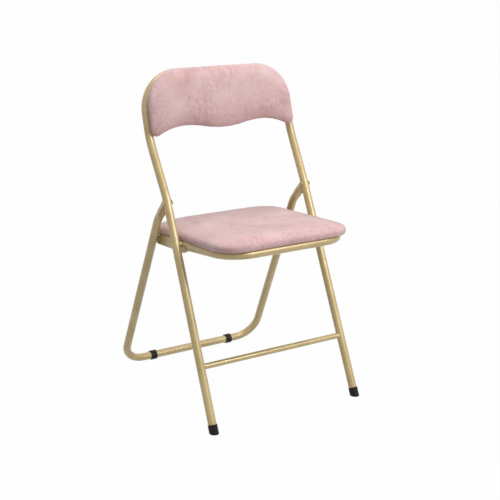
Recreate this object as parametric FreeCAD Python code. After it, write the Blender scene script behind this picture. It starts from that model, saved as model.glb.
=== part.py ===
import FreeCAD, Part
import math
import os

V = FreeCAD.Vector

# Folding chair of bent steel tube with an upholstered seat and back, standing open.
# Millimetres and degrees. The chair faces -Y, +Z is up and +X is the sitter's left.
# Lengths along Y are first counted from the line through the front feet, and
# the whole chair is moved to the middle of its own box at the end.

# Steel tube
tube_d = 20.0
tube_wall = 1.2
stretcher_d = 14.0
stretcher_wall = 1.0
# Corner radius of a nearly round section, as a share of the tube's radius
round_share = 0.95

# Front frame: one tube, up each leg, round the back and down again
foot_half = 200.0
knee_in = 6.8
shoulder_in = 3.5
front_lean = 23.9
knee_z = 503.6
knee_bend = 150.0
waist_lean = 30.0
shoulder_z = 628.0
shoulder_bend = 200.0
back_lean = 15.1
top_axis_z = 776.0
top_bend = 92.0
stretcher_z = 139.0

# Rear frame: one tube, hinged to the front frame by a forked end on each leg
rear_lean = 25.5
hinge_z = 493.5
hinge_offset = 23.7
neck_length = 65.0
neck_bend = 80.0
rear_out = 2.3
rear_bend = 58.0
fork_wall = 1.3
fork_gap = 0.4
fork_ear_d = 11.5
fork_boss = 0.2
fork_taper = 16.0
fork_straight = 0.8

# Feet
cap_wall = 1.2
cap_height = 19.5
cap_floor = 4.0
sleeve_wall = 2.5
sleeve_length = 16.0
sleeve_flat = 0.5
sleeve_x = 116.0

# Pivots and fasteners
rivet_d = 6.0
rivet_head_d = 8.0
rivet_head = 0.4
running_gap = 0.05
slot_pin_d = 6.0
slot_pin_head = 2.0
slot_pin_reach = 6.0
slot_play = 1.9
slot_end_gap = 0.4
washer_d = 13.0
collar_leg_gap = 1.4
screw_d = 4.0
screw_head_d = 8.0
screw_head = 1.2
screw_tip_gap = 1.5
screw_access_gap = 0.8

# Fold, in degrees from the open chair
seat_fold = 97.0
rear_fold = 49.1

# Seat frame: a tube bent to a U, its two ends pressed flat for the pivots
seat_pivot_z = 400.0
seat_axis_rise = -2.0
seat_tilt = 3.8
slot_pin_drop = 127.0
flat_thick = 5.0
flat_height = 26.0
flat_corner = 2.0
flat_front = 11.0
flat_rear = 14.0
flat_leg_gap = 3.4
press_length = 16.0
rail_leg_gap = 0.9
seat_overhang = 14.0
rail_inset = 21.0
seat_bend = 67.0

# Seat pad
seat_front = 195.5
seat_rear = 173.0
seat_leg_gap = 3.2
seat_taper = 3.0
seat_corner_front = 60.0
seat_corner_rear = 64.0
seat_pad = 25.0
seat_crown = 62.0
seat_board = 9.0
seat_screw_front_x = 80.0
seat_screw_side = 120.0

# Back pad, in the plane of the upper frame and measured up from its lower tips
back_tip_z = 634.0
back_over_side = 1.0
back_over_top = 7.0
back_corner_less = 2.0
back_tip_in = 13.5
back_tip_rise = 13.0
back_arch_x = 108.0
back_arch_rise = 19.5
back_middle_rise = 8.0
arch_swing_share = 0.125
arch_fall_share = 0.25
back_pad = 21.0
back_crown = 42.0
back_board = 6.0
tab_width = 22.0
tab_reach = 15.0
tab_thick = 2.0
tab_side_rise = 52.0
tab_top_x = 70.0

# Upholstery
cover_thick = 1.2
girth_share = 0.36
girth_inset = 2.5
girth_ease = 0.25
crown_steps = 5
loft_degree = 3
corner_ease = 0.8
cover_turn = 28.0
board_inset = 6.5
cloth_gap = 0.3

knee_half = foot_half - knee_in
shoulder_half = foot_half - shoulder_in
rear_half = foot_half + rear_out
tube_r = tube_d / 2
bore_r = tube_r - tube_wall
sleeve_r = tube_r + sleeve_wall
rear_bar_z = sleeve_r - sleeve_flat
# Length that a cutting shape reaches past a piece
past = 60.0
# How far an arc of 90 degrees stays inside its corner, as a share of its radius
arc_slack = 1 - math.sqrt(0.5)
seat_half_rear = knee_half - tube_r - seat_leg_gap
seat_half_front = seat_half_rear - seat_taper
seat_tube_front = seat_front - seat_overhang
seat_tube_half = seat_half_front - rail_inset
back_half = shoulder_half + back_over_side
back_tip_x = back_half - back_tip_in
back_corner = top_bend - back_corner_less


def tangent(angle):
    return math.tan(math.radians(angle))


def side_vector(angle):
    """Unit vector in the side plane, leaning back from upright by the angle."""
    return V(0, math.sin(math.radians(angle)), math.cos(math.radians(angle)))


def turned(shape, angle, y, z):
    """A shape drawn upright, leant back by the angle and moved to its place."""
    placed = shape.copy()
    placed.rotate(V(0, 0, 0), V(1, 0, 0), -angle)
    placed.translate(V(0, y, z))
    return placed


def mirrored(shape):
    return shape.mirror(V(0, 0, 0), V(1, 0, 0))


def both_sides(shape):
    return Part.makeCompound([shape, mirrored(shape)])


def joined(shapes):
    """One solid out of several that run into each other."""
    return shapes[0].multiFuse(shapes[1:]).removeSplitter()


# Lines with rounded corners

def corner_arc(before, corner, after, radius):
    """Arc of the radius that is tangent to both lines at a corner."""
    a = (before - corner).normalize()
    b = (after - corner).normalize()
    half = a.getAngle(b) / 2
    reach = radius / math.tan(half)
    middle = (a + b).normalize()
    deep = corner + middle * (radius / math.sin(half) - radius)
    return Part.Arc(corner + a * reach, deep, corner + b * reach)


def bent_line(points, radii):
    """Open wire through the points, with an arc at each inner point."""
    edges = []
    start = points[0]
    for i, radius in enumerate(radii, 1):
        arc = corner_arc(points[i - 1], points[i], points[i + 1], radius)
        edges.append(Part.makeLine(start, arc.StartPoint))
        edges.append(arc.toShape())
        start = arc.EndPoint
    edges.append(Part.makeLine(start, points[-1]))
    return Part.Wire(edges)


def rounded_outline(points, radii):
    """Closed wire through the points, with an arc at every point."""
    count = len(points)
    arcs = []
    for i in range(count):
        arcs.append(corner_arc(points[i - 1], points[i], points[(i + 1) % count], radii[i]))
    edges = []
    for i in range(count):
        edges.append(arcs[i].toShape())
        edges.append(Part.makeLine(arcs[i].EndPoint, arcs[(i + 1) % count].StartPoint))
    return Part.Wire(edges)


def rod(start, end, radius):
    return Part.makeCylinder(radius, (end - start).Length, start, end - start)


def cross_rod(place, x0, x1, radius):
    """Round bar along X through a point of the side plane."""
    return Part.makeCylinder(radius, x1 - x0, V(x0, place.y, place.z), V(1, 0, 0))


def bent_rod(points, radii, radius):
    """Round bar that follows a line with rounded corners."""
    line = bent_line(points, radii)
    circle = Part.makeCircle(radius, points[0], points[1] - points[0])
    return line.makePipeShell([Part.Wire(circle)], True, False)


def symmetric(points):
    """Points of the +X side followed by the same points on the -X side, backwards."""
    return points + [V(-p.x, p.y, p.z) for p in reversed(points)]


# Front frame

knee = V(knee_half, knee_z * tangent(front_lean), knee_z)
shoulder = V(shoulder_half, knee.y + (shoulder_z - knee_z) * tangent(waist_lean), shoulder_z)
top = V(shoulder_half, shoulder.y + (top_axis_z - shoulder_z) * tangent(back_lean), top_axis_z)
foot = V(foot_half, 0, 0)
leg_way = (knee - foot).normalize()


def on_front_leg(z):
    return foot + leg_way * (z / leg_way.z)


front_points = symmetric([foot - leg_way * past, knee, shoulder, top])
front_radii = [knee_bend, shoulder_bend, top_bend, top_bend, shoulder_bend, knee_bend]
front_outer = bent_rod(front_points, front_radii, tube_r)
front_bore = bent_rod(front_points, front_radii, bore_r)
below_corner = V(-3 * foot_half, -3 * foot_half, cap_floor - past * 4)
below_caps = Part.makeBox(6 * foot_half, 6 * foot_half, past * 4, below_corner)

hinge = on_front_leg(hinge_z)
seat_pivot = on_front_leg(seat_pivot_z)
rivet_hole_r = rivet_d / 2 + running_gap


def front_frame_tube():
    tube = front_outer.cut(front_bore).cut(below_caps)
    for place in (hinge, seat_pivot):
        hole = cross_rod(place, place.x - 2 * tube_r, place.x + 2 * tube_r, rivet_hole_r)
        tube = tube.cut(both_sides(hole))
    return tube


def front_stretcher():
    end = on_front_leg(stretcher_z)
    bar = cross_rod(end, -end.x, end.x, stretcher_d / 2)
    bore = cross_rod(end, -end.x, end.x, stretcher_d / 2 - stretcher_wall)
    pieces = bar.cut(bore).cut(front_outer).Solids
    return max(pieces, key=lambda piece: piece.Volume)


def front_foot_cap():
    """Moulded cap on a leg's end, level where it meets the floor."""
    upper = foot + leg_way * cap_height
    lower = foot - leg_way * past
    cap = rod(lower, upper, tube_r + cap_wall)
    floor_side = Part.makeBox(past * 4, past * 4, past * 4, V(foot_half - past * 2, -past * 2, -past * 4))
    seat_in_cap = rod(lower, upper + leg_way * past, tube_r).cut(below_caps)
    return cap.cut(floor_side).cut(seat_in_cap)


def hinge_rivet():
    """Rivet through the front tube and both cheeks of the rear leg's fork."""
    inner_x = hinge.x - ear_half
    outer_x = hinge.x + ear_half
    shank = cross_rod(hinge, inner_x, outer_x, rivet_d / 2)
    inner = cross_rod(hinge, inner_x - rivet_head, inner_x, rivet_head_d / 2)
    outer = cross_rod(hinge, outer_x, outer_x + rivet_head, rivet_head_d / 2)
    return joined([shank, inner, outer])


# Rear frame

rear_up = side_vector(-rear_lean)
rear_back = V(0, rear_up.z, -rear_up.y)
rear_foot_of_hinge = hinge + rear_back * hinge_offset
neck = rear_foot_of_hinge - rear_up * neck_length
bar_drop = (rear_foot_of_hinge.z - rear_bar_z) / rear_up.z
rear_corner = rear_foot_of_hinge - rear_up * bar_drop
rear_corner.x = rear_half
fork_way = (neck - hinge).normalize()
fork_half = tube_r + fork_gap + fork_wall
ear_half = fork_half + fork_boss
neck_turn = fork_way.getAngle(rear_corner - neck)
fork_end = (neck - hinge).Length - neck_bend * math.tan(neck_turn / 2) - fork_straight


def on_rear_leg(drop):
    """Point of the straight rear leg, a distance down it from beside the hinge."""
    share = (drop - neck_length) / (bar_drop - neck_length)
    return neck + (rear_corner - neck) * share


def front_tube_sweep():
    """Room that the front tube takes inside the fork, over the whole fold."""
    clear = tube_r + fork_gap
    reach = fork_end * 2
    shapes = []
    ways = []
    for angle in (0, rear_fold):
        way = V(leg_way.x, leg_way.y, leg_way.z)
        way.x = 0
        way.normalize()
        turn = FreeCAD.Rotation(V(1, 0, 0), angle)
        way = turn.multVec(way)
        across = V(0, way.z, -way.y)
        ends = [way * reach + across * clear, way * -reach + across * clear]
        ends += [way * -reach - across * clear, way * reach - across * clear]
        shapes.append(ends)
        ways.append(way)
    for end in (reach, -reach):
        shapes.append([V(0, 0, 0), ways[0] * end, ways[1] * end])
    solids = []
    for corners in shapes:
        corners = [hinge + corner - V(clear, 0, 0) for corner in corners]
        face = Part.Face(Part.makePolygon(corners + corners[:1]))
        solids.append(face.extrude(V(2 * clear, 0, 0)))
    return joined(solids)


def rear_fork():
    """Leg end widened before it is cut to a channel, with an ear on each side of the front tube."""
    taper_start = hinge + fork_way * (fork_end - fork_taper)
    wide = rod(hinge, taper_start, fork_half)
    taper = Part.makeCone(fork_half, tube_r, fork_taper, taper_start, fork_way)
    ear = cross_rod(hinge, hinge.x - ear_half, hinge.x + ear_half, fork_ear_d / 2)
    return joined([wide, taper, ear])


def slot_cut():
    """Slot along the inner wall of a rear leg, where the seat's pin slides."""
    half = slot_pin_d / 2 + slot_play
    upper = on_rear_leg(slot_pin_drop + half - slot_pin_d / 2 - slot_end_gap)
    lower = on_rear_leg(slot_pin_drop + slot_travel - half + slot_pin_d / 2 + slot_end_gap)
    inner_x = upper.x - 2 * tube_r
    axis_x = upper.x - bore_r / 2
    way = (lower - upper)
    way.x = 0
    across = V(0, way.z, -way.y).normalize() * half
    start = V(inner_x, upper.y, upper.z)
    corners = [start + across, start + way + across, start + way - across, start - across]
    middle = Part.Face(Part.makePolygon(corners + corners[:1])).extrude(V(axis_x - inner_x, 0, 0))
    ends = [cross_rod(place, inner_x, axis_x, half) for place in (upper, lower)]
    return joined([middle] + ends)


def rear_frame_tube():
    points = symmetric([hinge + fork_way * fork_end, neck, rear_corner])
    radii = [neck_bend, rear_bend, rear_bend, neck_bend]
    bore_start = hinge + fork_way * (fork_end + fork_straight / 2)
    bore_points = symmetric([bore_start, neck, rear_corner])
    outer = bent_rod(points, radii, tube_r)
    bore = bent_rod(bore_points, radii, bore_r)
    forks = [rear_fork(), mirrored(rear_fork())]
    hole = cross_rod(hinge, hinge.x - 2 * fork_half, hinge.x + 2 * fork_half, rivet_hole_r)
    tube = outer.multiFuse(forks).cut(bore)
    for cut in (front_tube_sweep(), hole, slot_cut()):
        tube = tube.cut(cut).cut(mirrored(cut))
    return max(tube.Solids, key=lambda piece: piece.Volume)


def rear_foot_sleeve():
    """Moulded ring on the rear bar, flat where it stands on the floor."""
    centre = V(0, rear_corner.y, rear_corner.z)
    start = sleeve_x - sleeve_length / 2
    ring = cross_rod(centre, start, start + sleeve_length, sleeve_r)
    under = Part.makeBox(past * 4, past * 2, past, V(0, rear_corner.y - past, -past))
    return ring.cut(cross_rod(centre, start, start + sleeve_length, tube_r)).cut(under)


# Seat. It is drawn level, with its tube's axis at height 0 over the pivot at y 0.

seat_up = V(0, 0, 1)
seat_axis = V(0, seat_pivot.y, seat_pivot.z)
seat_rise = turned(Part.Vertex(0, 0, seat_axis_rise), seat_tilt, 0, 0).Point
seat_origin = seat_axis + seat_rise
pivot_level = -seat_axis_rise
slot_pin = on_rear_leg(slot_pin_drop)
flat_outer_x = min(seat_pivot.x, slot_pin.x) - tube_r - flat_leg_gap
flat_inner_x = flat_outer_x - flat_thick
flat_x = flat_outer_x - flat_thick / 2
flat_level = tube_r - flat_height / 2


def in_seat(shape):
    return turned(shape, seat_tilt, seat_origin.y, seat_origin.z)


def from_seat(point):
    """A place of the standing chair, in the seat's own level axes."""
    turn = FreeCAD.Rotation(V(1, 0, 0), seat_tilt)
    return turn.multVec(point - V(0, seat_origin.y, seat_origin.z))


pin_in_seat = from_seat(slot_pin)


def fold_turn(angle):
    return FreeCAD.Rotation(V(-1, 0, 0), angle)


def pin_on_rear_leg(share):
    """Where the seat's pin lies on the rear leg at a share of the fold: across it and down it."""
    place = seat_axis + fold_turn(seat_fold * share).multVec(slot_pin - seat_pivot)
    arm = fold_turn(-rear_fold * share).multVec(place - V(0, hinge.y, hinge.z))
    arm.x = 0
    return arm.dot(rear_back) - hinge_offset, -arm.dot(rear_up)


slot_travel = pin_on_rear_leg(1.0)[1] - slot_pin_drop
flat_end = pin_in_seat.y + flat_rear
rail_start = V(seat_pivot.x - tube_r - rail_leg_gap - tube_r, -flat_front - press_length, 0)
rail_corner = V(seat_tube_half, -seat_tube_front, 0)
rail_way = (rail_corner - rail_start).normalize()


def upright_section(y, centre_x, level, half_x, half_z, corner):
    corners = []
    for sx, sz in ((1, 1), (-1, 1), (-1, -1), (1, -1)):
        corners.append(V(centre_x + sx * half_x, y, level + sz * half_z))
    return rounded_outline(corners, [corner] * 4)


def pressed_end():
    """Tube end pressed from round to flat, then straight to a rounded tip."""
    round_end = upright_section(rail_start.y, rail_start.x, 0, tube_r, tube_r, tube_r * round_share)
    half_thick = flat_thick / 2
    tip_r = flat_height / 2
    flat_start = upright_section(-flat_front, flat_x, flat_level, half_thick, tip_r, flat_corner)
    taper = Part.makeLoft([round_end, flat_start], True, True)
    straight = flat_end - tip_r + flat_front
    strip_corner = V(flat_inner_x, -flat_front, flat_level - tip_r)
    strip = Part.makeBox(flat_thick, straight, flat_height, strip_corner)
    tip = cross_rod(V(0, flat_end - tip_r, flat_level), flat_inner_x, flat_outer_x, tip_r)
    return [taper, strip, tip]


def seat_screw_places():
    """Screws inside the seat tube, two in its front bar and one in each rail."""
    rail_x = rail_start.x + rail_way.x * (seat_screw_side + rail_start.y) / -rail_way.y
    places = []
    for side in (1, -1):
        places.append(V(side * seat_screw_front_x, -seat_tube_front, 0))
        places.append(V(side * rail_x, -seat_screw_side, 0))
    return places


def seat_frame_tube():
    points = symmetric([rail_start, rail_corner])
    radii = [seat_bend, seat_bend]
    ends = pressed_end()
    outer = bent_rod(points, radii, tube_r).multiFuse(ends + [mirrored(end) for end in ends])
    tube = outer.cut(bent_rod(points, radii, bore_r)).removeSplitter()
    pivot_hole = cross_rod(V(0, 0, pivot_level), flat_inner_x - tube_r, flat_outer_x + tube_r, rivet_hole_r)
    pin_hole = cross_rod(pin_in_seat, flat_inner_x - tube_r, flat_outer_x + tube_r, slot_pin_d / 2)
    tube = tube.cut(both_sides(pivot_hole)).cut(both_sides(pin_hole))
    for place in seat_screw_places():
        access = Part.makeCylinder(screw_head_d / 2 + screw_access_gap, 2 * tube_r, place, seat_up * -1)
        hole = Part.makeCylinder(screw_d / 2 + running_gap, 2 * tube_r, place, seat_up)
        tube = tube.cut(access).cut(hole)
    return in_seat(tube)


def seat_pivot_rivet():
    """Rivet from outside the front leg to inside the seat's flat end."""
    outer_x = seat_pivot.x + tube_r
    inner_x = flat_inner_x - running_gap
    shank = cross_rod(seat_pivot, inner_x, outer_x + rivet_head / 2, rivet_d / 2)
    outer = cross_rod(seat_pivot, seat_pivot.x, outer_x + rivet_head, rivet_head_d / 2)
    inner = cross_rod(seat_pivot, inner_x - rivet_head, inner_x, rivet_head_d / 2)
    return joined([shank, outer.cut(front_outer), inner])


def seat_pivot_spacer():
    """Ring that keeps the seat's flat end clear of the round leg."""
    start = flat_outer_x + running_gap
    ring = cross_rod(seat_pivot, start, seat_pivot.x, washer_d / 2)
    ring = ring.cut(cross_rod(seat_pivot, start, seat_pivot.x, rivet_d / 2))
    return max(ring.cut(front_outer).Solids, key=lambda piece: -piece.CenterOfMass.x)


def slot_pin_piece():
    """Pin riveted through the flat end, reaching into the slot of the rear leg."""
    end_x = slot_pin.x - tube_r + slot_pin_reach
    shank = cross_rod(pin_in_seat, flat_inner_x, end_x, slot_pin_d / 2)
    head = cross_rod(pin_in_seat, flat_inner_x - slot_pin_head, flat_inner_x, rivet_head_d / 2)
    return in_seat(joined([shank, head]))


def slot_pin_collar():
    end_x = slot_pin.x - tube_r - collar_leg_gap
    ring = cross_rod(pin_in_seat, flat_outer_x, end_x, washer_d / 2)
    return in_seat(ring.cut(cross_rod(pin_in_seat, flat_outer_x, end_x, slot_pin_d / 2)))


# Upholstery. A pad is lofted through its outline, drawn in by an inset at each level.

def swelled(outline, trim, rise, crown):
    """Pad with drawn-in lower sides and a crown that is a quarter of an ellipse, trimmed all round."""
    base = tube_r + trim
    girth = base + (rise - 2 * trim) * girth_share
    shape = [(base, girth_inset), ((base + girth) / 2, girth_inset * girth_ease)]
    for step in range(crown_steps + 1):
        angle = math.pi / 2 * step / crown_steps
        level = girth + (tube_r + rise - trim - girth) * math.sin(angle)
        shape.append((level, crown * (1 - math.cos(angle))))
    sections = [outline(inset + trim, level) for level, inset in shape]
    return Part.makeLoft(sections, True, False, False, loft_degree)


def panel(outline, inset, base, thick, direction):
    return Part.Face(outline(inset, base)).extrude(direction * thick)


def seat_outline(inset, level):
    front = -seat_front + inset
    rear = seat_rear - inset
    corners = [V(seat_half_front - inset, front, level), V(seat_half_rear - inset, rear, level)]
    corners += [V(-corner.x, corner.y, level) for corner in reversed(corners)]
    radii = [seat_corner_front - inset * corner_ease, seat_corner_rear - inset * corner_ease]
    return rounded_outline(corners, radii + radii[::-1])


def back_outline(inset, depth):
    """Arched top, straight sides and a lower edge with two shallow arches."""
    side = back_half - inset
    top_edge = back_height - inset
    bend = back_corner - inset
    slack = bend * arc_slack
    tip_x = back_tip_x - inset * corner_ease
    waist_x = back_arch_x / 2
    waist_rise = (back_arch_rise + back_middle_rise) / 2 + inset
    arch_rise = back_arch_rise + inset
    swing = (back_arch_rise - back_middle_rise) * arch_swing_share
    arch_x = (back_arch_x + tip_x) / 2
    arch_fall = back_arch_rise * arch_fall_share
    tip_bulge = (side - tip_x) * arc_slack

    def at(x, rise):
        return V(x, -depth, rise)

    def arc(a, b, c):
        return Part.Arc(a, b, c).toShape()

    right = []
    shoulder_of_arch = at((waist_x + back_arch_x) / 2, arch_rise - swing)
    right.append(arc(at(waist_x, waist_rise), shoulder_of_arch, at(back_arch_x, arch_rise)))
    right.append(arc(at(back_arch_x, arch_rise), at(arch_x, arch_rise - arch_fall), at(tip_x, inset)))
    corner_rise = inset + back_tip_rise
    tip_out = at(side - tip_bulge, inset + back_tip_rise * arc_slack)
    right.append(arc(at(tip_x, inset), tip_out, at(side, corner_rise)))
    right.append(Part.makeLine(at(side, corner_rise), at(side, top_edge - bend)))
    bulge = at(side - slack, top_edge - slack)
    right.append(arc(at(side, top_edge - bend), bulge, at(side - bend, top_edge)))
    left = [mirrored(edge) for edge in reversed(right)]
    middle = arc(at(-waist_x, waist_rise), at(0, back_middle_rise + inset), at(waist_x, waist_rise))
    top_line = Part.makeLine(at(side - bend, top_edge), at(bend - side, top_edge))
    return Part.Wire(Part.sortEdges([middle] + right + [top_line] + left)[0])


def upholstery(outline, rise, board_thick, crown, direction):
    """Board, foam, cover and lining of a pad whose back lies on the tube."""
    outer = swelled(outline, 0, rise, crown)
    inner = swelled(outline, cover_thick, rise, crown)
    board = panel(outline, board_inset, tube_r + cover_thick, board_thick, direction)
    opening = panel(outline, cover_turn, tube_r, cover_thick, direction)
    lining = panel(outline, cover_turn + cloth_gap, tube_r + cloth_gap, cover_thick - cloth_gap, direction)
    return board, inner.cut(board), outer.cut(inner).cut(opening), lining


def screwed(shapes, holes):
    for hole in holes:
        shapes = [shape.cut(hole) for shape in shapes]
    return shapes


def screws_at(places, direction, start, board_thick):
    """Screws with pan heads, from a seat on steel into a board."""
    length = tube_r + cover_thick + board_thick - screw_tip_gap - start
    screws = []
    for place in places:
        seat = place + direction * start
        shank = Part.makeCylinder(screw_d / 2, length, seat, direction)
        head = Part.makeCylinder(screw_head_d / 2, screw_head, seat, direction * -1)
        screws.append(joined([shank, head]))
    return screws


screw_seat = math.sqrt(bore_r ** 2 - (screw_head_d / 2) ** 2) - running_gap
seat_screws = screws_at(seat_screw_places(), seat_up, screw_seat, seat_board)
seat_pieces = upholstery(seat_outline, seat_pad, seat_board, seat_crown, seat_up)
seat_pieces = screwed(seat_pieces, seat_screws)

# Back pad, drawn upright with the tube's axis plane at y 0 and its front towards -Y
back_front = V(0, -1, 0)
back_base_y = shoulder.y + (back_tip_z - shoulder_z) * tangent(back_lean)
tube_top_rise = (top_axis_z - back_tip_z) / math.cos(math.radians(back_lean))
back_height = tube_top_rise + back_over_top


def in_back(shape):
    return turned(shape, back_lean, back_base_y, back_tip_z)


def back_tab_places():
    """Middles of the small tabs, inside the tube at its sides and top."""
    inside = tube_r + tab_reach / 2
    side_tab = V(shoulder_half - inside, 0, tab_side_rise)
    top_tab = V(tab_top_x, 0, tube_top_rise - inside)
    return [side_tab, top_tab, V(-top_tab.x, 0, top_tab.z), V(-side_tab.x, 0, side_tab.z)]


def back_tabs():
    """Small steel tabs on the tube's inner side, level with its front."""
    half = tab_width / 2
    long_half = tab_reach / 2 + tube_r
    solids = []
    for place in back_tab_places():
        on_side = abs(place.x) > tab_top_x
        half_x = long_half if on_side else half
        half_z = half if on_side else long_half
        corner = place - V(half_x, tube_r, half_z)
        plate = Part.makeBox(2 * half_x, tab_thick, 2 * half_z, corner)
        inside = in_back(plate).cut(front_outer)
        places = {abs(piece.CenterOfMass.x) + piece.CenterOfMass.z: piece for piece in inside.Solids}
        solids.append(places[min(places)])
    return Part.makeCompound(solids)


tab_back = tube_r - tab_thick
back_screws = screws_at(back_tab_places(), back_front, tab_back, back_board)
back_pieces = upholstery(back_outline, back_pad, back_board, back_crown, back_front)
back_pieces = screwed(back_pieces, back_screws)


# Writing the nodes

seat_reach = in_seat(Part.Vertex(0, -seat_front, tube_r + seat_pad * girth_share)).Point.y
origin_y = (seat_reach + rear_corner.y + sleeve_r) / 2
os.makedirs("parts", exist_ok=True)


def save(name, shape):
    shape = shape.copy()
    shape.translate(V(0, -origin_y, 0))
    shape.exportStep("parts/" + name + ".step")
    print(name, len(shape.Solids), "solids", round(shape.Volume / 1000, 2), "cm3", shape.isValid())


save("front_frame_tube", front_frame_tube())
save("front_stretcher", front_stretcher())
save("front_foot_cap_left", front_foot_cap())
save("front_foot_cap_right", mirrored(front_foot_cap()))
save("hinge_rivets", both_sides(hinge_rivet()))
save("seat_pivot_rivets", both_sides(seat_pivot_rivet()))
save("seat_pivot_spacers", both_sides(seat_pivot_spacer()))
save("rear_frame_tube", rear_frame_tube())
save("rear_foot_sleeve_left", rear_foot_sleeve())
save("rear_foot_sleeve_right", mirrored(rear_foot_sleeve()))
save("seat_frame_tube", seat_frame_tube())
save("slot_pins", both_sides(slot_pin_piece()))
save("slot_pin_collars", both_sides(slot_pin_collar()))
for name, piece in zip(("seat_board", "seat_foam", "seat_cover", "seat_underside_cloth"), seat_pieces):
    save(name, in_seat(piece))
save("seat_screws", in_seat(Part.makeCompound(seat_screws)))
for name, piece in zip(("back_board", "back_foam", "back_cover", "back_lining"), back_pieces):
    save(name, in_back(piece))
save("back_tabs", screwed([back_tabs()], [in_back(screw) for screw in back_screws])[0])
save("back_screws", in_back(Part.makeCompound(back_screws)))

drift = [pin_on_rear_leg(step / 20)[0] for step in range(21)]
print("pin drift in the slot", round(min(drift), 2), round(max(drift), 2), "travel", round(slot_travel, 1))
print("hinge", hinge - V(0, origin_y, 0), "seat pivot", seat_pivot - V(0, origin_y, 0))
print("foot line y", round(-origin_y, 3))
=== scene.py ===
import math

import bmesh
import bpy
import numpy as np
from mathutils import Matrix, Vector


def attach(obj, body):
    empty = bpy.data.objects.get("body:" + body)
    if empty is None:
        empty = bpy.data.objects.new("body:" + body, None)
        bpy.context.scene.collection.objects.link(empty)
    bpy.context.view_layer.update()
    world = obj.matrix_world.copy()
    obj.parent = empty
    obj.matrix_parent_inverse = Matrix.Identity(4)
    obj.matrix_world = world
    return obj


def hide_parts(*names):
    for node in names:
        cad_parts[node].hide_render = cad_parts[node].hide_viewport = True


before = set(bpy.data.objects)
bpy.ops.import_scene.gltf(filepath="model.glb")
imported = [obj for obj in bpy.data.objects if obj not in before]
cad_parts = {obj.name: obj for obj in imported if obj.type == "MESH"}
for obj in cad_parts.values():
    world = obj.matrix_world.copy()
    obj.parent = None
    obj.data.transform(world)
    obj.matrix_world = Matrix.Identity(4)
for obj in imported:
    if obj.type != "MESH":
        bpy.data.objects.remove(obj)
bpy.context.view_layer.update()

scene = bpy.context.scene
scene.view_settings.view_transform = "Standard"
mm = 0.001
tiny = 1e-9  # keeps a point that stays still from a division by zero
print("frame loaded", len(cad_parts), "nodes")


# colours and nodes

def linear(hexText):
    # sRGB hex to linear: the straight foot below 0.04045, the 2.4 power above it
    parts = np.array([int(hexText[i:i + 2], 16) for i in (1, 3, 5)]) / 255
    low = parts / 12.92
    high = ((parts + 0.055) / 1.055) ** 2.4
    return (*np.where(parts <= 0.04045, low, high).tolist(), 1.0)


def addNode(tree, kind, links=(), inputs=(), **settings):
    made = tree.nodes.new(kind)
    for name, value in settings.items():
        setattr(made, name, value)
    for name, value in dict(inputs).items():
        made.inputs[name].default_value = value
    for name, source in dict(links).items():
        tree.links.new(source, made.inputs[name])
    return made


def newMaterial(name):
    material = bpy.data.materials.new(name)
    material.use_nodes = True
    material.node_tree.nodes.clear()
    return material, material.node_tree


def colourStops(ramp, stops):
    # first and last stop are there already, the others are added between them
    elements = ramp.color_ramp.elements
    while len(elements) < len(stops):
        elements.new(0.5)
    for element, (place, colour) in zip(elements, stops):
        element.position = place
        element.color = linear(colour)


# lacquered steel tube: champagne pigment under a clear coat on drawn steel, a soft gloss
# with a faint orange peel, a little duller and browner in patches
goldLook = {
    "stops": [(0.3, "#b59d68"), (0.65, "#c6b07b")],  # worn, then clean lacquer
    "patchMm": 60, "patchDetail": 4,
    "patchRange": (0.3, 0.7), "roughness": (0.48, 0.4),
    "peelMm": 2.2, "peelDetail": 2, "peelDepthMm": 0.01, "peelStrength": 0.15,
    "shader": {"Metallic": 0.25, "Coat Weight": 1.0, "Coat Roughness": 0.2, "Coat IOR": 1.38},
}


def lacqueredSteel():
    material, tree = newMaterial("champagneLacqueredSteel")
    place = addNode(tree, "ShaderNodeTexCoord")
    patch = addNode(tree, "ShaderNodeTexNoise", {"Vector": place.outputs["Object"]},
                    {"Scale": 1 / (goldLook["patchMm"] * mm), "Detail": goldLook["patchDetail"]})
    peel = addNode(tree, "ShaderNodeTexNoise", {"Vector": place.outputs["Object"]},
                   {"Scale": 1 / (goldLook["peelMm"] * mm), "Detail": goldLook["peelDetail"]})
    colour = addNode(tree, "ShaderNodeValToRGB", {"Fac": patch.outputs["Fac"]})
    colourStops(colour, goldLook["stops"])
    wornPlace, cleanPlace = goldLook["patchRange"]
    wornGloss, cleanGloss = goldLook["roughness"]
    gloss = addNode(tree, "ShaderNodeMapRange", {"Value": patch.outputs["Fac"]},
                    {"From Min": wornPlace, "From Max": cleanPlace,
                     "To Min": wornGloss, "To Max": cleanGloss})
    bump = addNode(tree, "ShaderNodeBump", {"Height": peel.outputs["Fac"]},
                   {"Strength": goldLook["peelStrength"],
                    "Distance": goldLook["peelDepthMm"] * mm})
    shader = addNode(tree, "ShaderNodeBsdfPrincipled",
                     {"Base Color": colour.outputs["Color"], "Roughness": gloss.outputs["Result"],
                      "Normal": bump.outputs["Normal"], "Coat Normal": bump.outputs["Normal"]},
                     goldLook["shader"])
    addNode(tree, "ShaderNodeOutputMaterial", {"Surface": shader.outputs["BSDF"]})
    return material


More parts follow.
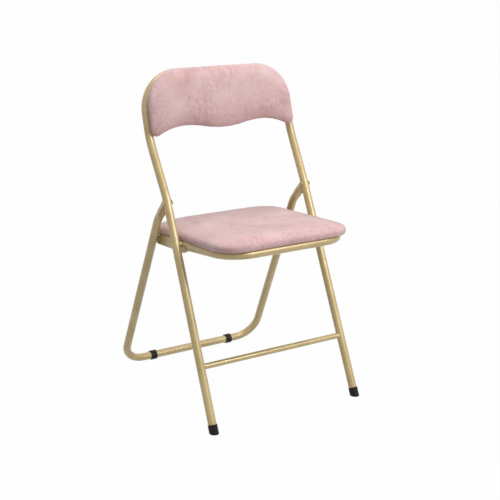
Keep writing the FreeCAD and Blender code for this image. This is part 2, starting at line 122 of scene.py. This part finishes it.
# polyester velvet: short pile that lies one way or the other where a hand has brushed it,
# so it shows paler and deeper strokes, and a light bloom where it turns away;
# the pile is drawn at 1.6 mm, coarser than it is, so that it shows
velvetLook = {
    "stops": [(0.32, "#bb9190"), (0.48, "#d3aead"), (0.72, "#dfc7c6")],  # deep, middle, pale
    "shiftMm": (550, 400, 210),
    "brushMm": 80, "brush": {"Detail": 4, "Roughness": 0.5, "Distortion": 0.4},
    "strokeMm": 10, "stroke": {"Detail": 6, "Roughness": 0.65, "Distortion": 1.2},
    "strokeLie": {"Scale": (1.3, 0.6, 0.85), "Rotation": (0.3, 0.4, 0.7)},
    "workedMm": 70, "workedDetail": 2, "workedRange": (0.42, 0.6), "strokeShare": (0.25, 0.75),
    "pileMm": 1.6, "pileDetail": 3, "pileDepthMm": 0.25, "pileStrength": 0.5,
    "shader": {"Roughness": 0.9, "Sheen Weight": 0.9, "Sheen Roughness": 0.35,
               "Sheen Tint": linear("#fbf0f0"), "Specular IOR Level": 0.2},
}


def brushedVelvet():
    material, tree = newMaterial("brushedPinkVelvet")
    place = addNode(tree, "ShaderNodeTexCoord")
    shifted = addNode(tree, "ShaderNodeMapping", {"Vector": place.outputs["Object"]},
                      {"Location": [part * mm for part in velvetLook["shiftMm"]]})
    lie = addNode(tree, "ShaderNodeMapping", {"Vector": shifted.outputs["Vector"]},
                  velvetLook["strokeLie"])
    brush = addNode(tree, "ShaderNodeTexNoise", {"Vector": shifted.outputs["Vector"]},
                    {"Scale": 1 / (velvetLook["brushMm"] * mm), **velvetLook["brush"]})
    stroke = addNode(tree, "ShaderNodeTexNoise", {"Vector": lie.outputs["Vector"]},
                     {"Scale": 1 / (velvetLook["strokeMm"] * mm), **velvetLook["stroke"]})
    pile = addNode(tree, "ShaderNodeTexNoise", {"Vector": shifted.outputs["Vector"]},
                   {"Scale": 1 / (velvetLook["pileMm"] * mm), "Detail": velvetLook["pileDetail"]})
    # strokes show where the pile has been worked, and hardly elsewhere
    worked = addNode(tree, "ShaderNodeTexNoise", {"Vector": shifted.outputs["Vector"]},
                     {"Scale": 1 / (velvetLook["workedMm"] * mm),
                      "Detail": velvetLook["workedDetail"]})
    calmPlace, workedPlace = velvetLook["workedRange"]
    calmShare, workedShare = velvetLook["strokeShare"]
    amount = addNode(tree, "ShaderNodeMapRange", {"Value": worked.outputs["Fac"]},
                     {"From Min": calmPlace, "From Max": workedPlace,
                      "To Min": calmShare, "To Max": workedShare})
    both = addNode(tree, "ShaderNodeMix", {"A": brush.outputs["Fac"], "B": stroke.outputs["Fac"],
                                           "Factor": amount.outputs["Result"]})
    colour = addNode(tree, "ShaderNodeValToRGB", {"Fac": both.outputs["Result"]})
    colourStops(colour, velvetLook["stops"])
    bump = addNode(tree, "ShaderNodeBump", {"Height": pile.outputs["Fac"]},
                   {"Strength": velvetLook["pileStrength"],
                    "Distance": velvetLook["pileDepthMm"] * mm})
    shader = addNode(tree, "ShaderNodeBsdfPrincipled",
                     {"Base Color": colour.outputs["Color"], "Normal": bump.outputs["Normal"]},
                     velvetLook["shader"])
    addNode(tree, "ShaderNodeOutputMaterial", {"Surface": shader.outputs["BSDF"]})
    return material


# moulded polyethylene feet: near black and half glossy, with a moulded grain
# that is drawn at 1.2 mm, coarser than it is, so that it shows
feetLook = {
    "stops": [(0.45, "#120d0e"), (0.8, "#2a2223")],  # clean, then scuffed
    "scuffMm": 9, "scuffDetail": 5,
    "grainMm": 1.2, "grainDetail": 3, "grainDepthMm": 0.06, "grainStrength": 0.3,
    "shader": {"Roughness": 0.3, "Specular IOR Level": 0.2},
}


def mouldedPolyethylene():
    material, tree = newMaterial("blackMouldedPolyethylene")
    place = addNode(tree, "ShaderNodeTexCoord")
    grain = addNode(tree, "ShaderNodeTexNoise", {"Vector": place.outputs["Object"]},
                    {"Scale": 1 / (feetLook["grainMm"] * mm), "Detail": feetLook["grainDetail"]})
    scuff = addNode(tree, "ShaderNodeTexNoise", {"Vector": place.outputs["Object"]},
                    {"Scale": 1 / (feetLook["scuffMm"] * mm), "Detail": feetLook["scuffDetail"]})
    colour = addNode(tree, "ShaderNodeValToRGB", {"Fac": scuff.outputs["Fac"]})
    colourStops(colour, feetLook["stops"])
    bump = addNode(tree, "ShaderNodeBump", {"Height": grain.outputs["Fac"]},
                   {"Strength": feetLook["grainStrength"],
                    "Distance": feetLook["grainDepthMm"] * mm})
    shader = addNode(tree, "ShaderNodeBsdfPrincipled",
                     {"Base Color": colour.outputs["Color"], "Normal": bump.outputs["Normal"]},
                     feetLook["shader"])
    addNode(tree, "ShaderNodeOutputMaterial", {"Surface": shader.outputs["BSDF"]})
    return material


# zinc-plated steel of the pins, spacers and screws: bright but not polished, with pressed marks
zincLook = {
    "stops": [(0.35, "#a79f8c"), (0.6, "#cfc8b6")],  # dull, then bright
    "markMm": 3, "markDetail": 4, "roughness": (0.42, 0.24),
    "shader": {"Metallic": 1.0},
}


def zincPlatedSteel():
    material, tree = newMaterial("zincPlatedSteel")
    place = addNode(tree, "ShaderNodeTexCoord")
    mark = addNode(tree, "ShaderNodeTexNoise", {"Vector": place.outputs["Object"]},
                   {"Scale": 1 / (zincLook["markMm"] * mm), "Detail": zincLook["markDetail"]})
    colour = addNode(tree, "ShaderNodeValToRGB", {"Fac": mark.outputs["Fac"]})
    colourStops(colour, zincLook["stops"])
    dullGloss, brightGloss = zincLook["roughness"]
    gloss = addNode(tree, "ShaderNodeMapRange", {"Value": mark.outputs["Fac"]},
                    {"To Min": dullGloss, "To Max": brightGloss})
    shader = addNode(tree, "ShaderNodeBsdfPrincipled",
                     {"Base Color": colour.outputs["Color"], "Roughness": gloss.outputs["Result"]},
                     zincLook["shader"])
    addNode(tree, "ShaderNodeOutputMaterial", {"Surface": shader.outputs["BSDF"]})
    return material


# birch plywood: pale, unvarnished, with long grain along the board
boardLook = {
    "stops": [(0.35, "#b8935f"), (0.6, "#d8bd92")],  # dark, then light grain
    "grainMm": 5, "grainDetail": 6, "alongScale": (0.08, 1.0, 1.0),
    "shader": {"Roughness": 0.7},
}


def birchPlywood():
    material, tree = newMaterial("birchPlywood")
    place = addNode(tree, "ShaderNodeTexCoord")
    along = addNode(tree, "ShaderNodeMapping", {"Vector": place.outputs["Object"]},
                    {"Scale": boardLook["alongScale"]})
    grain = addNode(tree, "ShaderNodeTexNoise", {"Vector": along.outputs["Vector"]},
                    {"Scale": 1 / (boardLook["grainMm"] * mm), "Detail": boardLook["grainDetail"]})
    colour = addNode(tree, "ShaderNodeValToRGB", {"Fac": grain.outputs["Fac"]})
    colourStops(colour, boardLook["stops"])
    shader = addNode(tree, "ShaderNodeBsdfPrincipled", {"Base Color": colour.outputs["Color"]},
                     boardLook["shader"])
    addNode(tree, "ShaderNodeOutputMaterial", {"Surface": shader.outputs["BSDF"]})
    return material


# spun-bond polypropylene cloth under the pads: flat charcoal felt,
# with its bonding print drawn at 3 mm so that it shows
clothLook = {
    "stops": [(0.1, "#1b1a1b"), (0.6, "#343233")],  # pressed dots, then open felt
    "printMm": 3, "depthMm": 0.15, "printStrength": 0.5,
    "shader": {"Roughness": 0.95},
}


def spunBondCloth():
    material, tree = newMaterial("spunBondCloth")
    place = addNode(tree, "ShaderNodeTexCoord")
    dots = addNode(tree, "ShaderNodeTexVoronoi", {"Vector": place.outputs["Object"]},
                   {"Scale": 1 / (clothLook["printMm"] * mm)})
    colour = addNode(tree, "ShaderNodeValToRGB", {"Fac": dots.outputs["Distance"]})
    colourStops(colour, clothLook["stops"])
    bump = addNode(tree, "ShaderNodeBump", {"Height": dots.outputs["Distance"]},
                   {"Strength": clothLook["printStrength"],
                    "Distance": clothLook["depthMm"] * mm})
    shader = addNode(tree, "ShaderNodeBsdfPrincipled",
                     {"Base Color": colour.outputs["Color"], "Normal": bump.outputs["Normal"]},
                     clothLook["shader"])
    addNode(tree, "ShaderNodeOutputMaterial", {"Surface": shader.outputs["BSDF"]})
    return material


gold = lacqueredSteel()
velvet = brushedVelvet()
blackFeet = mouldedPolyethylene()
zinc = zincPlatedSteel()
plywood = birchPlywood()
liningCloth = spunBondCloth()

finishes = {
    gold: ["front_frame_tube", "front_stretcher", "rear_frame_tube", "seat_frame_tube",
           "back_tabs", "hinge_rivets", "seat_pivot_rivets"],
    blackFeet: ["front_foot_cap_left", "front_foot_cap_right",
                "rear_foot_sleeve_left", "rear_foot_sleeve_right"],
    zinc: ["seat_pivot_spacers", "slot_pins", "slot_pin_collars", "seat_screws", "back_screws"],
    plywood: ["seat_board", "back_board"],
    liningCloth: ["seat_underside_cloth", "back_lining"],
}
for finish, names in finishes.items():
    for name in names:
        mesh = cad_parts[name].data
        mesh.materials.clear()
        mesh.materials.append(finish)
print("frame dressed")


# padded pieces: the foam and board, joined and remeshed, blown up a little as cloth,
# with the underside held flat on its board

def coordinates(mesh, kind="co"):
    flat = np.empty(len(mesh.vertices) * 3)
    mesh.vertices.foreach_get(kind, flat)
    return flat.reshape(-1, 3)


def filledPad(name, look):
    joined = bmesh.new()
    for node in look["fill"]:
        joined.from_mesh(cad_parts[node].data)
    bmesh.ops.remove_doubles(joined, verts=joined.verts, dist=look["weldMm"] * mm)
    mesh = bpy.data.meshes.new(name)
    joined.to_mesh(mesh)
    joined.free()
    pad = bpy.data.objects.new(name, mesh)
    scene.collection.objects.link(pad)
    remesh = pad.modifiers.new("remesh", "REMESH")
    remesh.mode = "VOXEL"
    remesh.voxel_size = look["voxelMm"] * mm
    evaluated = pad.evaluated_get(bpy.context.evaluated_depsgraph_get())
    pad.data = bpy.data.meshes.new_from_object(evaluated)
    pad.modifiers.clear()
    return pad


def blownMoves(pad, held, look):
    # how far pressure from inside carries each point of the cover in the simulated frames
    start = coordinates(pad.data)
    group = pad.vertex_groups.new(name="held")
    group.add(np.nonzero(held)[0].tolist(), 1.0, "REPLACE")
    cloth = pad.modifiers.new("cloth", "CLOTH")
    cloth.settings.quality = look["clothQuality"]
    cloth.settings.use_pressure = True
    cloth.settings.uniform_pressure_force = look["pressure"]
    cloth.settings.tension_stiffness = look["stretchStiffness"]
    cloth.settings.compression_stiffness = look["stretchStiffness"]
    cloth.settings.bending_stiffness = look["bendStiffness"]
    cloth.settings.effector_weights.gravity = 0
    cloth.settings.vertex_group_mass = "held"
    for step in range(1, look["clothFrames"] + 1):
        scene.frame_set(step)
    blown = pad.evaluated_get(bpy.context.evaluated_depsgraph_get()).to_mesh()
    moved = coordinates(blown) - start
    scene.frame_set(1)
    pad.modifiers.clear()
    pad.vertex_groups.clear()
    return moved


def calmMoves(mesh, moved, steps):
    # each point's move becomes the mean of its own and its neighbours', so that nothing puckers
    edges = np.empty(len(mesh.edges) * 2, dtype=np.int32)
    mesh.edges.foreach_get("vertices", edges)
    first, second = edges.reshape(-1, 2).T
    share = 1 + np.bincount(edges, minlength=len(moved))
    for step in range(steps):
        total = moved.copy()
        np.add.at(total, first, moved[second])
        np.add.at(total, second, moved[first])
        moved = total / share[:, None]
    return moved


def velvetPad(name, look):
    pad = filledPad(name, look)
    start = coordinates(pad.data)
    normals = coordinates(pad.data, "normal")

    # height of each point over the underside, along the pad's own upward direction
    lean = math.radians(look["leanDeg"])
    if look["lies"]:
        upward = np.array([0.0, math.sin(lean), math.cos(lean)])
    else:
        upward = np.array([0.0, -math.cos(lean), math.sin(lean)])
    height = start @ upward
    height = height - height.min()
    held = height < look["heldMm"] * mm

    moved = blownMoves(pad, held, look)
    # a point goes no further than the cap
    length = np.linalg.norm(moved, axis=1, keepdims=True)
    moved = moved * np.minimum(1.0, look["capMm"] * mm / np.maximum(length, tiny))
    moved = calmMoves(pad.data, moved, look["calmSteps"])
    moved = moved + normals * look["growMm"] * mm

    # where the cover turns under, the rounded edge is pushed outwards to a corner
    outward = normals - np.outer(normals @ upward, upward)
    span = np.linalg.norm(outward, axis=1, keepdims=True)
    corner = held[:, None] & (span > look["leastSpan"])
    push = outward / np.maximum(span, look["leastSpan"]) * (1 - span)
    moved = moved + np.where(corner, push, 0) * look["edgeMm"] * mm

    # the underside comes down onto the tube, less so where the lining lies under it
    lining = coordinates(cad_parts[look["lining"]].data)
    within = (start > lining.min(axis=0)) & (start < lining.max(axis=0))
    overLining = np.all(within, axis=1, where=look["across"])
    settle = np.where(overLining, look["settleMm"], look["rimSettleMm"]) * mm
    drop = moved[held] @ upward + settle[held]
    moved[held] = moved[held] - upward * drop[:, None]

    pad.data.vertices.foreach_set("co", (start + moved).ravel())
    pad.data.shade_smooth()
    pad.data.update()
    pad.data.materials.append(velvet)
    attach(pad, look["body"])
    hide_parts(*look["hides"])
    print(name, len(start), "points, moved", round(float(length.max()) / mm, 2), "mm")


# what both pads share: welding, cloth, and how the cover stands off its filling
padLook = {
    "weldMm": 0.01, "heldMm": 2.5,
    "clothFrames": 20, "clothQuality": 6, "pressure": 4.0,
    "stretchStiffness": 20, "bendStiffness": 2,
    "capMm": 1.8, "calmSteps": 40, "growMm": 2.6,
    "edgeMm": 4.0, "leastSpan": 0.2, "settleMm": 0.6, "full": 0.8,
}
# across marks the axes in which the lining's box is compared
seatLook = {
    **padLook, "fill": ["seat_foam", "seat_board"], "hides": ["seat_foam", "seat_cover"],
    "body": "seat", "lies": True, "leanDeg": 3.8,
    "lining": "seat_underside_cloth", "across": [True, True, False],
    "voxelMm": 3.4, "rimSettleMm": 2.2,
}
backLook = {
    **padLook, "fill": ["back_foam", "back_board"], "hides": ["back_foam", "back_cover"],
    "body": "front_frame", "lies": False, "leanDeg": 15.1,
    "lining": "back_lining", "across": [True, False, True],
    "voxelMm": 3.0, "rimSettleMm": 1.1,
}
velvetPad("seatPad", seatLook)
velvetPad("backPad", backLook)


# floor, light and camera

stageLook = {"floorHalf": 60.0, "floor": "#c6c6c6", "whiteShare": 0.98,
             "backdrop": 0.99, "world": 0.38, "aim": (0, 0, 0.4)}


def seenDirectly(tree):
    # 1 for camera, glossy and transmission rays, 0 for the light that falls on the chair
    rays = addNode(tree, "ShaderNodeLightPath")
    seen = addNode(tree, "ShaderNodeMath", {0: rays.outputs["Is Camera Ray"],
                                            1: rays.outputs["Is Glossy Ray"]}, operation="MAXIMUM")
    through = addNode(tree, "ShaderNodeMath", {0: seen.outputs[0],
                                               1: rays.outputs["Is Transmission Ray"]},
                      operation="MAXIMUM")
    return through.outputs[0]


def paleFloor():
    half = stageLook["floorHalf"]
    corners = [(-half, -half, 0), (half, -half, 0), (half, half, 0), (-half, half, 0)]
    mesh = bpy.data.meshes.new("floor")
    mesh.from_pydata(corners, [], [(0, 1, 2, 3)])
    floor = bpy.data.objects.new("floor", mesh)
    scene.collection.objects.link(floor)
    material, tree = newMaterial("paleFloorPaint")
    share = addNode(tree, "ShaderNodeMath", {0: seenDirectly(tree)}, {1: stageLook["whiteShare"]},
                    operation="MULTIPLY")
    matt = addNode(tree, "ShaderNodeBsdfDiffuse", (), {"Color": linear(stageLook["floor"])})
    white = addNode(tree, "ShaderNodeEmission", (), {"Strength": 1.0})
    mixed = addNode(tree, "ShaderNodeMixShader",
                    {0: share.outputs[0], 1: matt.outputs[0], 2: white.outputs[0]})
    addNode(tree, "ShaderNodeOutputMaterial", {"Surface": mixed.outputs[0]})
    mesh.materials.append(material)


def softWorld():
    world = bpy.data.worlds.new("studio")
    world.use_nodes = True
    tree = world.node_tree
    tree.nodes.clear()
    strength = addNode(tree, "ShaderNodeMapRange", {"Value": seenDirectly(tree)},
                       {"To Min": stageLook["world"], "To Max": stageLook["backdrop"]})
    light = addNode(tree, "ShaderNodeBackground", {"Strength": strength.outputs["Result"]},
                    {"Color": (1, 1, 1, 1)})
    addNode(tree, "ShaderNodeOutputWorld", {"Surface": light.outputs[0]})
    scene.world = world


lampLooks = {
    "keyLight": {"place": (1.1, -2.2, 1.9), "size": 0.9, "watts": 34},
    "topLight": {"place": (0.2, 0.0, 3.0), "size": 1.6, "watts": 42},
    # shows only as the streak along the lacquered tubes
    "streakCard": {"place": (0.35, -2.6, 2.0), "size": 1.1, "watts": 16, "streakOnly": True},
}


def areaLight(name, place, size, watts, streakOnly=False):
    lamp = bpy.data.lights.new(name, "AREA")
    lamp.shape = "DISK"
    lamp.size = size
    lamp.energy = watts
    holder = bpy.data.objects.new(name, lamp)
    scene.collection.objects.link(holder)
    holder.location = place
    toAim = Vector(stageLook["aim"]) - Vector(place)
    holder.rotation_euler = toAim.to_track_quat("-Z", "Y").to_euler()
    holder.visible_diffuse = not streakOnly


paleFloor()
softWorld()
for name, look in lampLooks.items():
    areaLight(name, **look)

cameraLook = {"azimuthDeg": -31.87, "elevationDeg": 16.11, "lensMm": 74.74, "sensorMm": 36,
              "place": (-1.2672, -2.1063, 1.0553)}
cameraData = bpy.data.cameras.new("camera")
cameraData.lens = cameraLook["lensMm"]
cameraData.sensor_width = cameraLook["sensorMm"]
camera = bpy.data.objects.new("camera", cameraData)
scene.collection.objects.link(camera)
azimuth = math.radians(cameraLook["azimuthDeg"])
elevation = math.radians(cameraLook["elevationDeg"])
back = Vector((math.sin(azimuth) * math.cos(elevation),
               -math.cos(azimuth) * math.cos(elevation), math.sin(elevation)))
right = Vector((math.cos(azimuth), math.sin(azimuth), 0))
turn = Matrix((right, back.cross(right), back)).transposed().to_4x4()
camera.matrix_world = Matrix.Translation(cameraLook["place"]) @ turn
scene.camera = camera
print("stage set")
